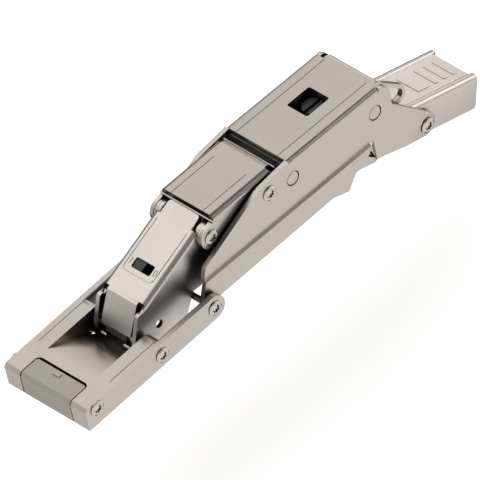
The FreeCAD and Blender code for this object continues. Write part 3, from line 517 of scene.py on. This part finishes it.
def head_tree():
    """Node group that sets a star-recessed head, sized in millimetres, on every point of a mesh."""
    tree = bpy.data.node_groups.new("hinge_rivet_heads", "GeometryNodeTree")
    ids = {"Geometry": input_socket(tree, "Geometry", "NodeSocketGeometry", None)}
    for name in ("Radius", "Height", "Edge", "Star tip", "Star root", "Recess depth"):
        ids[name] = input_socket(tree, name, "NodeSocketFloat", 0.001)
    ids["Lobes"] = input_socket(tree, "Lobes", "NodeSocketInt", 8)
    ids["Material"] = input_socket(tree, "Material", "NodeSocketMaterial", None)
    tree.interface.new_socket(name="Geometry", in_out="OUTPUT", socket_type="NodeSocketGeometry")
    make = Nodes(tree)
    given = make.add("NodeGroupInput").outputs
    height = given["Height"]
    depth = given["Recess depth"]
    half_height = make.math("MULTIPLY", height, 0.5)
    top_radius = make.math("SUBTRACT", given["Radius"], given["Edge"])
    rim = make.add(
        "GeometryNodeCurvePrimitiveCircle", {"Resolution": HEAD_STEPS, "Radius": top_radius}, mode="RADIUS"
    )
    star = make.add(
        "GeometryNodeCurveStar",
        {"Points": given["Lobes"], "Inner Radius": given["Star root"], "Outer Radius": given["Star tip"]},
    )
    tips = {"Curve": star.outputs["Curve"], "Radius": TIP_ROUND, "Count": TIP_STEPS, "Limit Radius": True}
    outline = make.add("GeometryNodeFilletCurve", tips, mode="POLY").outputs["Curve"]
    face = make.add("GeometryNodeFillCurve", {"Curve": make.joined(rim.outputs["Curve"], outline)})
    top = make.raised(face.outputs["Mesh"], height)
    recess = make.add("GeometryNodeFillCurve", {"Curve": outline})
    recess_floor = make.raised(recess.outputs["Mesh"], make.math("SUBTRACT", height, depth))
    star_edges = make.add("GeometryNodeCurveToMesh", {"Curve": outline})
    down = make.add("ShaderNodeCombineXYZ", {"Z": make.math("SUBTRACT", 0.0, depth)}).outputs[0]
    wall = make.add(
        "GeometryNodeExtrudeMesh",
        {"Mesh": make.raised(star_edges.outputs["Mesh"], height), "Offset": down, "Offset Scale": 1.0},
        mode="EDGES",
    )
    slope = make.raised(make.cone(top_radius, given["Radius"], half_height), half_height)
    skirt = make.cone(given["Radius"], given["Radius"], half_height)
    head = make.joined(top, recess_floor, slope, wall.outputs["Mesh"], skirt)
    merged = make.add("GeometryNodeMergeByDistance", {"Geometry": head, "Distance": MERGE_GAP})
    spot = make.add("GeometryNodeInputPosition").outputs[0]
    across = make.add("ShaderNodeSeparateXYZ", {"Vector": spot}).outputs["Y"]
    angle = make.math("MULTIPLY", make.math("SIGN", across), -math.pi / 2)
    turn = make.add("ShaderNodeCombineXYZ", {"X": angle}).outputs[0]
    placed = make.add(
        "GeometryNodeInstanceOnPoints",
        {
            "Points": given["Geometry"],
            "Instance": merged.outputs["Geometry"],
            "Rotation": turn,
            "Scale": (MM, MM, MM),
        },
    )
    realized = make.add("GeometryNodeRealizeInstances", {"Geometry": placed.outputs["Instances"]})
    painted = make.add(
        "GeometryNodeSetMaterial", {"Geometry": realized.outputs["Geometry"], "Material": given["Material"]}
    )
    out = make.add("NodeGroupOutput")
    tree.links.new(painted.outputs["Geometry"], out.inputs[0])
    return tree, ids


def head_points(node, height):
    """Two points where a pin's heads stand, one on each side of the middle plane, and the pin's middle."""
    low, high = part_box(node)
    middle = (low + high) / 2
    mesh = bpy.data.meshes.new(node + "_points")
    spots = [(middle.x, low.y + height, middle.z), (middle.x, high.y - height, middle.z)]
    mesh.from_pydata(spots, [], [])
    return link(bpy.data.objects.new(node + "_points", mesh)), middle


def material(name):
    """New node material, cleared of its first nodes."""
    made = bpy.data.materials.new(name)
    made.use_nodes = True
    made.node_tree.nodes.clear()
    return made


def metal(name, colour, roughness, settings, darker=0.0):
    """Plated metal with a fine grain in tint, gloss and height, with painted shade where faces stand close.
    """
    made = material(name)
    make = Nodes(made.node_tree)
    place = make.add("ShaderNodeTexCoord").outputs["Object"]
    grain = make.add(
        "ShaderNodeTexNoise", {"Vector": place, "Scale": settings.grain, "Detail": 3.0, "Roughness": 0.6}
    ).outputs[0]
    cloud = make.add(
        "ShaderNodeTexNoise", {"Vector": place, "Scale": CLOUD_SCALE, "Detail": 2.0, "Roughness": 0.5}
    ).outputs[0]
    low = [max(0.0, share * (1.0 - settings.tint - darker)) for share in colour]
    high = [min(1.0, share * (1.0 + settings.tint)) for share in colour]
    tint = make.ramp(grain, [(0.3, low), (0.7, high)])
    # Painted shade: colour darkened where nearby faces close the metal in
    near = make.add("ShaderNodeAmbientOcclusion", {"Distance": settings.painted_shade_reach}, samples=8).outputs["AO"]
    painted_shade_factor = make.ramp(near, PAINTED_SHADE_BY_OPENNESS)
    shaded = make.add("ShaderNodeVectorMath", {0: tint, 1: painted_shade_factor}, operation="MULTIPLY").outputs[0]
    gloss = make.span(cloud, 0.3, 0.7, roughness - 0.03, roughness + 0.04)
    bump = make.add(
        "ShaderNodeBump", {"Height": grain, "Strength": 1.0, "Distance": settings.grain_depth}
    ).outputs[0]
    shader = make.add(
        "ShaderNodeBsdfPrincipled",
        {"Base Color": shaded, "Metallic": 1.0, "Roughness": gloss, "Normal": bump},
    )
    make.add("ShaderNodeOutputMaterial", {"Surface": shader.outputs[0]})


def plastic(name, colour, roughness, settings):
    """Moulded plastic with a faint eroded texture."""
    made = material(name)
    make = Nodes(made.node_tree)
    place = make.add("ShaderNodeTexCoord").outputs["Object"]
    grain = make.add(
        "ShaderNodeTexNoise", {"Vector": place, "Scale": settings.grain * 0.7, "Detail": 2.0}
    ).outputs[0]
    gloss = make.span(grain, 0.0, 1.0, roughness - 0.06, roughness + 0.08)
    bump = make.add(
        "ShaderNodeBump", {"Height": grain, "Strength": 1.0, "Distance": settings.grain_depth * 2.0}
    ).outputs[0]
    shader = make.add(
        "ShaderNodeBsdfPrincipled", {"Base Color": list(colour) + [1.0], "Roughness": gloss, "Normal": bump}
    )
    make.add("ShaderNodeOutputMaterial", {"Surface": shader.outputs[0]})


def give(obj, name):
    """Assigns one of the hinge's materials."""
    obj.data.materials.clear()
    obj.data.materials.append(bpy.data.materials["hinge_" + name])


class HINGE_OT_finish(Operator):
    """Make the materials and give them to the CAD nodes"""

    bl_idname = "hinge.finish"
    bl_label = "Finish"

    def execute(self, context):
        """Builds one material per slot and assigns it."""
        settings = context.scene.hinge_finish
        rough = settings.roughness
        metal("hinge_nickel_sheet", settings.sheet, rough, settings)
        metal("hinge_nickel_lever", settings.lever, rough, settings)
        metal("hinge_nickel_casting", settings.casting, rough + CASTING_ROUGHER, settings, CASTING_DARKER)
        metal("hinge_nickel_pin", settings.pin, rough - PIN_SMOOTHER, settings)
        metal("hinge_spring_wire", settings.wire, rough, settings)
        plastic("hinge_black_plastic", settings.plastic, PLASTIC_ROUGHNESS, settings)
        plastic("hinge_cam_grey", settings.cam, CAM_ROUGHNESS, settings)
        plastic("hinge_tab_white", settings.tab, TAB_ROUGHNESS, settings)
        plastic("hinge_mark_ink", settings.ink, INK_ROUGHNESS, settings)
        for part in frame["record"]["subparts"]:
            give(frame["nodes"][part["node"]], part["material_slot"])
        return {"FINISHED"}


class HINGE_OT_sheets(Operator):
    """Show the sheet parts with broken edges"""

    bl_idname = "hinge.sheets"
    bl_label = "Sheet edges"

    def execute(self, context):
        """Replaces each sheet node by its bevelled copy."""
        for node, slot in SHEETS.items():
            piece = bevelled_copy(node, context.scene.hinge_sheets)
            if node == "lever_channel":
                self.add_webs(piece)
            give(piece, slot)
            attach(piece, body_of_node(node))
            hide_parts(node)
        return {"FINISHED"}

    def add_webs(self, piece):
        """Adds the small webs within the thickness of the lever's walls."""
        work = bmesh.new()
        work.from_mesh(piece.data)
        for outline in (WEB_REAR, WEB_FOOT):
            self.add_plate(work, outline, WEB_INNER, WEB_OUTER)
            self.add_plate(work, outline, -WEB_OUTER, -WEB_INNER)
        work.to_mesh(piece.data)
        work.free()

    def add_plate(self, work, outline, low, high):
        """Adds a closed plate with the given outline between two places across."""
        first = [work.verts.new((x * MM, low * MM, z * MM)) for x, z in outline]
        second = [work.verts.new((x * MM, high * MM, z * MM)) for x, z in outline]
        faces = [work.faces.new(first[::-1]), work.faces.new(second)]
        for step in range(len(outline)):
            following = (step + 1) % len(outline)
            faces.append(work.faces.new([first[step], first[following], second[following], second[step]]))
        bmesh.ops.recalc_face_normals(work, faces=faces)


class HINGE_OT_heads(Operator):
    """Show the pins with star-recessed riveted heads"""

    bl_idname = "hinge.heads"
    bl_label = "Rivet heads"

    def execute(self, context):
        """Builds every pin's shaft and instances its two heads."""
        settings = context.scene.hinge_heads
        tree, ids = head_tree()
        values = {
            "Radius": settings.radius / MM,
            "Height": settings.height / MM,
            "Edge": settings.edge / MM,
            "Star tip": settings.recess_outer / MM,
            "Star root": settings.recess_inner / MM,
            "Recess depth": settings.recess_depth / MM,
            "Lobes": settings.lobes,
            "Material": bpy.data.materials["hinge_nickel_pin"],
        }
        for node, shaft in PINS.items():
            source, middle = head_points(node, settings.height)
            heads = source.modifiers.new("heads", "NODES")
            heads.node_group = tree
            for name, value in values.items():
                heads[ids[name]] = value
            piece = baked(source, node + "_heads")
            self.add_shaft(piece, node, shaft * MM, middle, settings.height)
            shade_by_angle(piece.data, PIN_SHARP)
            give(piece, "nickel_pin")
            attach(piece, body_of_node(node))
            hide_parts(node)
        return {"FINISHED"}

    def add_shaft(self, piece, node, radius, middle, height):
        """Adds the round shaft between the two heads."""
        low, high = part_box(node)
        length = high.y - low.y - 2 * height
        work = bmesh.new()
        work.from_mesh(piece.data)
        bmesh.ops.recalc_face_normals(work, faces=work.faces)
        place = Matrix.Translation(middle) @ Matrix.Rotation(math.pi / 2, 4, "X")
        bmesh.ops.create_cone(
            work,
            cap_ends=True,
            segments=SHAFT_STEPS,
            radius1=radius,
            radius2=radius,
            depth=length,
            matrix=place,
        )
        work.to_mesh(piece.data)
        work.free()


class HINGE_OT_trim(Operator):
    """Add the link's rolled edges and the switch marks"""

    bl_idname = "hinge.trim"
    bl_label = "Rolls and marks"

    def execute(self, context):
        """Builds two rods on the link and two marks on the lever."""
        settings = context.scene.hinge_trim
        self.roll("front_roll", settings.front_roll, settings)
        self.roll("rear_roll", settings.rear_roll, settings)
        self.marks(settings)
        return {"FINISHED"}

    def roll(self, name, place, settings):
        """Thin rod across the link."""
        work = bmesh.new()
        turn = Matrix.Translation(Vector(place)) @ Matrix.Rotation(math.pi / 2, 4, "X")
        radius = settings.roll_radius
        bmesh.ops.create_cone(
            work,
            cap_ends=True,
            segments=ROLL_STEPS,
            radius1=radius,
            radius2=radius,
            depth=2 * settings.roll_half,
            matrix=turn,
        )
        mesh = bpy.data.meshes.new(name)
        work.to_mesh(mesh)
        work.free()
        shade_by_angle(mesh, ROLL_SHARP)
        obj = link(bpy.data.objects.new(name, mesh))
        give(obj, "nickel_sheet")
        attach(obj, body_of_node("bridge_link"))

    def marks(self, settings):
        """Flat bar on one side of the window and a flat ring on the other."""
        work = bmesh.new()
        half = settings.mark_length / 2
        stroke = settings.mark_stroke
        side = settings.mark_side
        bar = [(-half, side), (-half, side + stroke), (half, side + stroke), (half, side)]
        work.faces.new([work.verts.new(self.on_cover(run, y, settings)) for run, y in bar])
        outer = [work.verts.new(point) for point in self.ring(half, half * RING_NARROW, settings)]
        inner_sizes = (half - stroke, half * RING_NARROW - stroke)
        inner = [work.verts.new(point) for point in self.ring(*inner_sizes, settings)]
        for step in range(RING_STEPS):
            following = (step + 1) % RING_STEPS
            work.faces.new([outer[step], outer[following], inner[following], inner[step]])
        mesh = bpy.data.meshes.new("switch_marks")
        work.to_mesh(mesh)
        work.free()
        obj = link(bpy.data.objects.new("switch_marks", mesh))
        give(obj, "mark_ink")
        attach(obj, body_of_node("lever_channel"))

    def ring(self, long_half, cross_half, settings):
        """Points of an ellipse on the cover, around the near mark's middle."""
        points = []
        for step in range(RING_STEPS):
            turn = 2 * math.pi * step / RING_STEPS
            y = -settings.mark_side - RING_SHIFT + cross_half * math.sin(turn)
            points.append(self.on_cover(long_half * math.cos(turn), y, settings))
        return points

    def on_cover(self, run, y, settings):
        """Point just over the lever's cover, run along it from the window's middle."""
        along = Vector((math.cos(settings.mark_pitch), 0.0, math.sin(settings.mark_pitch)))
        out = Vector((-math.sin(settings.mark_pitch), 0.0, math.cos(settings.mark_pitch)))
        return Vector(settings.mark_place) + Vector((0.0, y, 0.0)) + along * run + out * MARK_LIFT


class HINGE_OT_stage(Operator):
    """Set up the camera, floor, lights and room"""

    bl_idname = "hinge.stage"
    bl_label = "Studio"

    def execute(self, context):
        """Builds the studio."""
        settings = context.scene.hinge_stage
        self.camera(context.scene, settings)
        self.floor(settings)
        self.card("card", settings.target, CARD_PLACE, settings.card)
        self.card("rear_card", REAR_CARD_TARGET, REAR_CARD_PLACE, settings.rear_card)
        self.room(context.scene, settings)
        context.scene.view_settings.view_transform = "Standard"
        return {"FINISHED"}

    def camera(self, scene, settings):
        """Camera at the photo's isometric angle."""
        back = Vector(CAMERA_BACK).normalized()
        right = Vector(CAMERA_UP).normalized().cross(back).normalized()
        up = back.cross(right).normalized()
        data = bpy.data.cameras.new("camera")
        data.lens = settings.lens
        data.sensor_width = SENSOR_WIDTH
        distance = settings.lens * settings.frame_width / data.sensor_width
        data.clip_start = distance * 0.2
        data.clip_end = distance * 4.0
        turn = Matrix((right, up, back)).transposed().to_4x4()
        obj = link(bpy.data.objects.new("camera", data))
        obj.matrix_world = Matrix.Translation(Vector(settings.target) + back * distance) @ turn
        scene.camera = obj

    def floor(self, settings):
        """White floor, with a painted reflection for the metal."""
        mesh = bpy.data.meshes.new("floor")
        corners = [(-1, -1), (1, -1), (1, 1), (-1, 1)]
        places = [(x * FLOOR_HALF, y * FLOOR_HALF, settings.floor_drop) for x, y in corners]
        mesh.from_pydata(places, [], [(0, 1, 2, 3)])
        obj = link(bpy.data.objects.new("floor", mesh))
        mesh.materials.append(self.floor_paint(settings))

    def floor_paint(self, settings):
        """Matt white that looks brighter to the camera, and shows the metal a painted reflection, bright
        with a painted shadow under the hinge.
        """
        paint = material("studio_floor")
        make = Nodes(paint.node_tree)
        look = {"Base Color": FLOOR_WHITE, "Roughness": FLOOR_ROUGHNESS}
        shader = make.add("ShaderNodeBsdfPrincipled", look).outputs[0]
        place = make.add("ShaderNodeTexCoord").outputs["Object"]
        axes = make.add("ShaderNodeSeparateXYZ", {"Vector": place}).outputs
        # Painted reflection: glow seen only by glossy rays, dark in a painted shadow under and behind the
        # hinge
        share = PAINTED_FLOOR_SHADOW
        for axis, dark, bright, level in PAINTED_FLOOR_REFLECTION:
            band = make.span(axes[axis], dark, bright, PAINTED_FLOOR_SHADOW, level, blend="SMOOTHSTEP")
            share = make.math("MAXIMUM", share, band)
        strength = make.math("MULTIPLY", share, settings.world)
        painted_reflection = make.add("ShaderNodeEmission", {"Color": STUDIO_TINT, "Strength": strength}).outputs[0]
        glow = make.add("ShaderNodeEmission", {"Color": WHITE, "Strength": settings.floor_light})
        lit = make.add("ShaderNodeAddShader", {0: shader, 1: glow.outputs[0]}).outputs[0]
        rays = make.add("ShaderNodeLightPath").outputs
        seen = make.add("ShaderNodeMixShader", {0: rays["Is Camera Ray"], 1: shader, 2: lit}).outputs[0]
        mixed = make.add("ShaderNodeMixShader", {0: rays["Is Glossy Ray"], 1: seen, 2: painted_reflection})
        make.add("ShaderNodeOutputMaterial", {"Surface": mixed.outputs[0]})
        return paint

    def card(self, name, target, place, power):
        """Square soft light that looks at a target."""
        direction, distance, size = place
        data = bpy.data.lights.new(name, "AREA")
        data.shape = "SQUARE"
        data.size = size
        data.energy = power
        obj = link(bpy.data.objects.new(name, data))
        aim = Vector(direction).normalized()
        turn = aim.to_track_quat("Z", "Y").to_matrix().to_4x4()
        obj.matrix_world = Matrix.Translation(Vector(target) + aim * distance) @ turn

    def room(self, scene, settings):
        """Room with bright and dark walls for the metal; the camera itself sees white."""
        world = bpy.data.worlds.new("studio")
        world.use_nodes = True
        world.node_tree.nodes.clear()
        make = Nodes(world.node_tree)
        direction = make.add("ShaderNodeTexCoord").outputs["Generated"]
        axes = make.add("ShaderNodeSeparateXYZ", {"Vector": direction}).outputs
        turn = make.math("ARCTAN2", axes["Z"], axes["Y"])
        share = make.math("MULTIPLY", turn, 1.0 / math.pi)
        light = make.ramp(share, [(degrees / 180.0, [value] * 3) for degrees, value in ROOM_LIGHT])
        strip = make.ramp(share, [(degrees / 180.0, [value] * 3) for degrees, value in END_LIGHT])
        behind = make.span(axes["X"], *END_LEAN, 0.0, 1.0)
        light = make.math("ADD", light, make.math("MULTIPLY", strip, behind))
        ahead = make.span(axes["X"], *FRONT_LEAN, 0.0, 1.0)
        light = make.add("ShaderNodeMix", {0: ahead, 2: light, 3: settings.front_wall}).outputs[0]
        strength = make.math("MULTIPLY", light, settings.world)
        walls = make.add("ShaderNodeBackground", {"Color": STUDIO_TINT, "Strength": strength}).outputs[0]
        white = make.add("ShaderNodeBackground", {"Color": WHITE, "Strength": 1.0}).outputs[0]
        seen = make.add("ShaderNodeLightPath").outputs["Is Camera Ray"]
        mixed = make.add("ShaderNodeMixShader", {0: seen, 1: walls, 2: white})
        make.add("ShaderNodeOutputWorld", {"Surface": mixed.outputs[0]})
        scene.world = world


class HINGE_PT_panel(Panel):
    """Sidebar panel with every setting."""

    bl_idname = "HINGE_PT_panel"
    bl_label = "Hinge"
    bl_space_type = "VIEW_3D"
    bl_region_type = "UI"
    bl_category = "Hinge"

    def draw(self, context):
        """Lists the settings above each operator."""
        layout = self.layout
        for group, operator in STEPS:
            settings = getattr(context.scene, group)
            box = layout.box()
            for name in settings.bl_rna.properties.keys():
                if name not in ("rna_type", "name"):
                    box.prop(settings, name)
            box.operator(operator)


GROUPS = {
    "hinge_finish": HingeFinishSettings,
    "hinge_sheets": HingeSheetSettings,
    "hinge_heads": HingeHeadSettings,
    "hinge_trim": HingeTrimSettings,
    "hinge_stage": HingeStageSettings,
}
STEPS = [
    ("hinge_finish", "hinge.finish"),
    ("hinge_sheets", "hinge.sheets"),
    ("hinge_heads", "hinge.heads"),
    ("hinge_trim", "hinge.trim"),
    ("hinge_stage", "hinge.stage"),
]
CLASSES = (
    HINGE_OT_finish,
    HINGE_OT_sheets,
    HINGE_OT_heads,
    HINGE_OT_trim,
    HINGE_OT_stage,
    HINGE_PT_panel,
)


def register():
    """Registers the settings, operators and panel."""
    for name, group in GROUPS.items():
        bpy.utils.register_class(group)
        setattr(bpy.types.Scene, name, PointerProperty(type=group))
    for cls in CLASSES:
        bpy.utils.register_class(cls)


def unregister():
    """Removes them again."""
    for cls in reversed(CLASSES):
        bpy.utils.unregister_class(cls)
    for name, group in GROUPS.items():
        delattr(bpy.types.Scene, name)
        bpy.utils.unregister_class(group)


def main():
    """Builds the whole scene."""
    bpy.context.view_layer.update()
    register()
    bpy.ops.hinge.finish()
    bpy.ops.hinge.sheets()
    bpy.ops.hinge.heads()
    bpy.ops.hinge.trim()
    bpy.ops.hinge.stage()


if __name__ == "__main__":
    main()
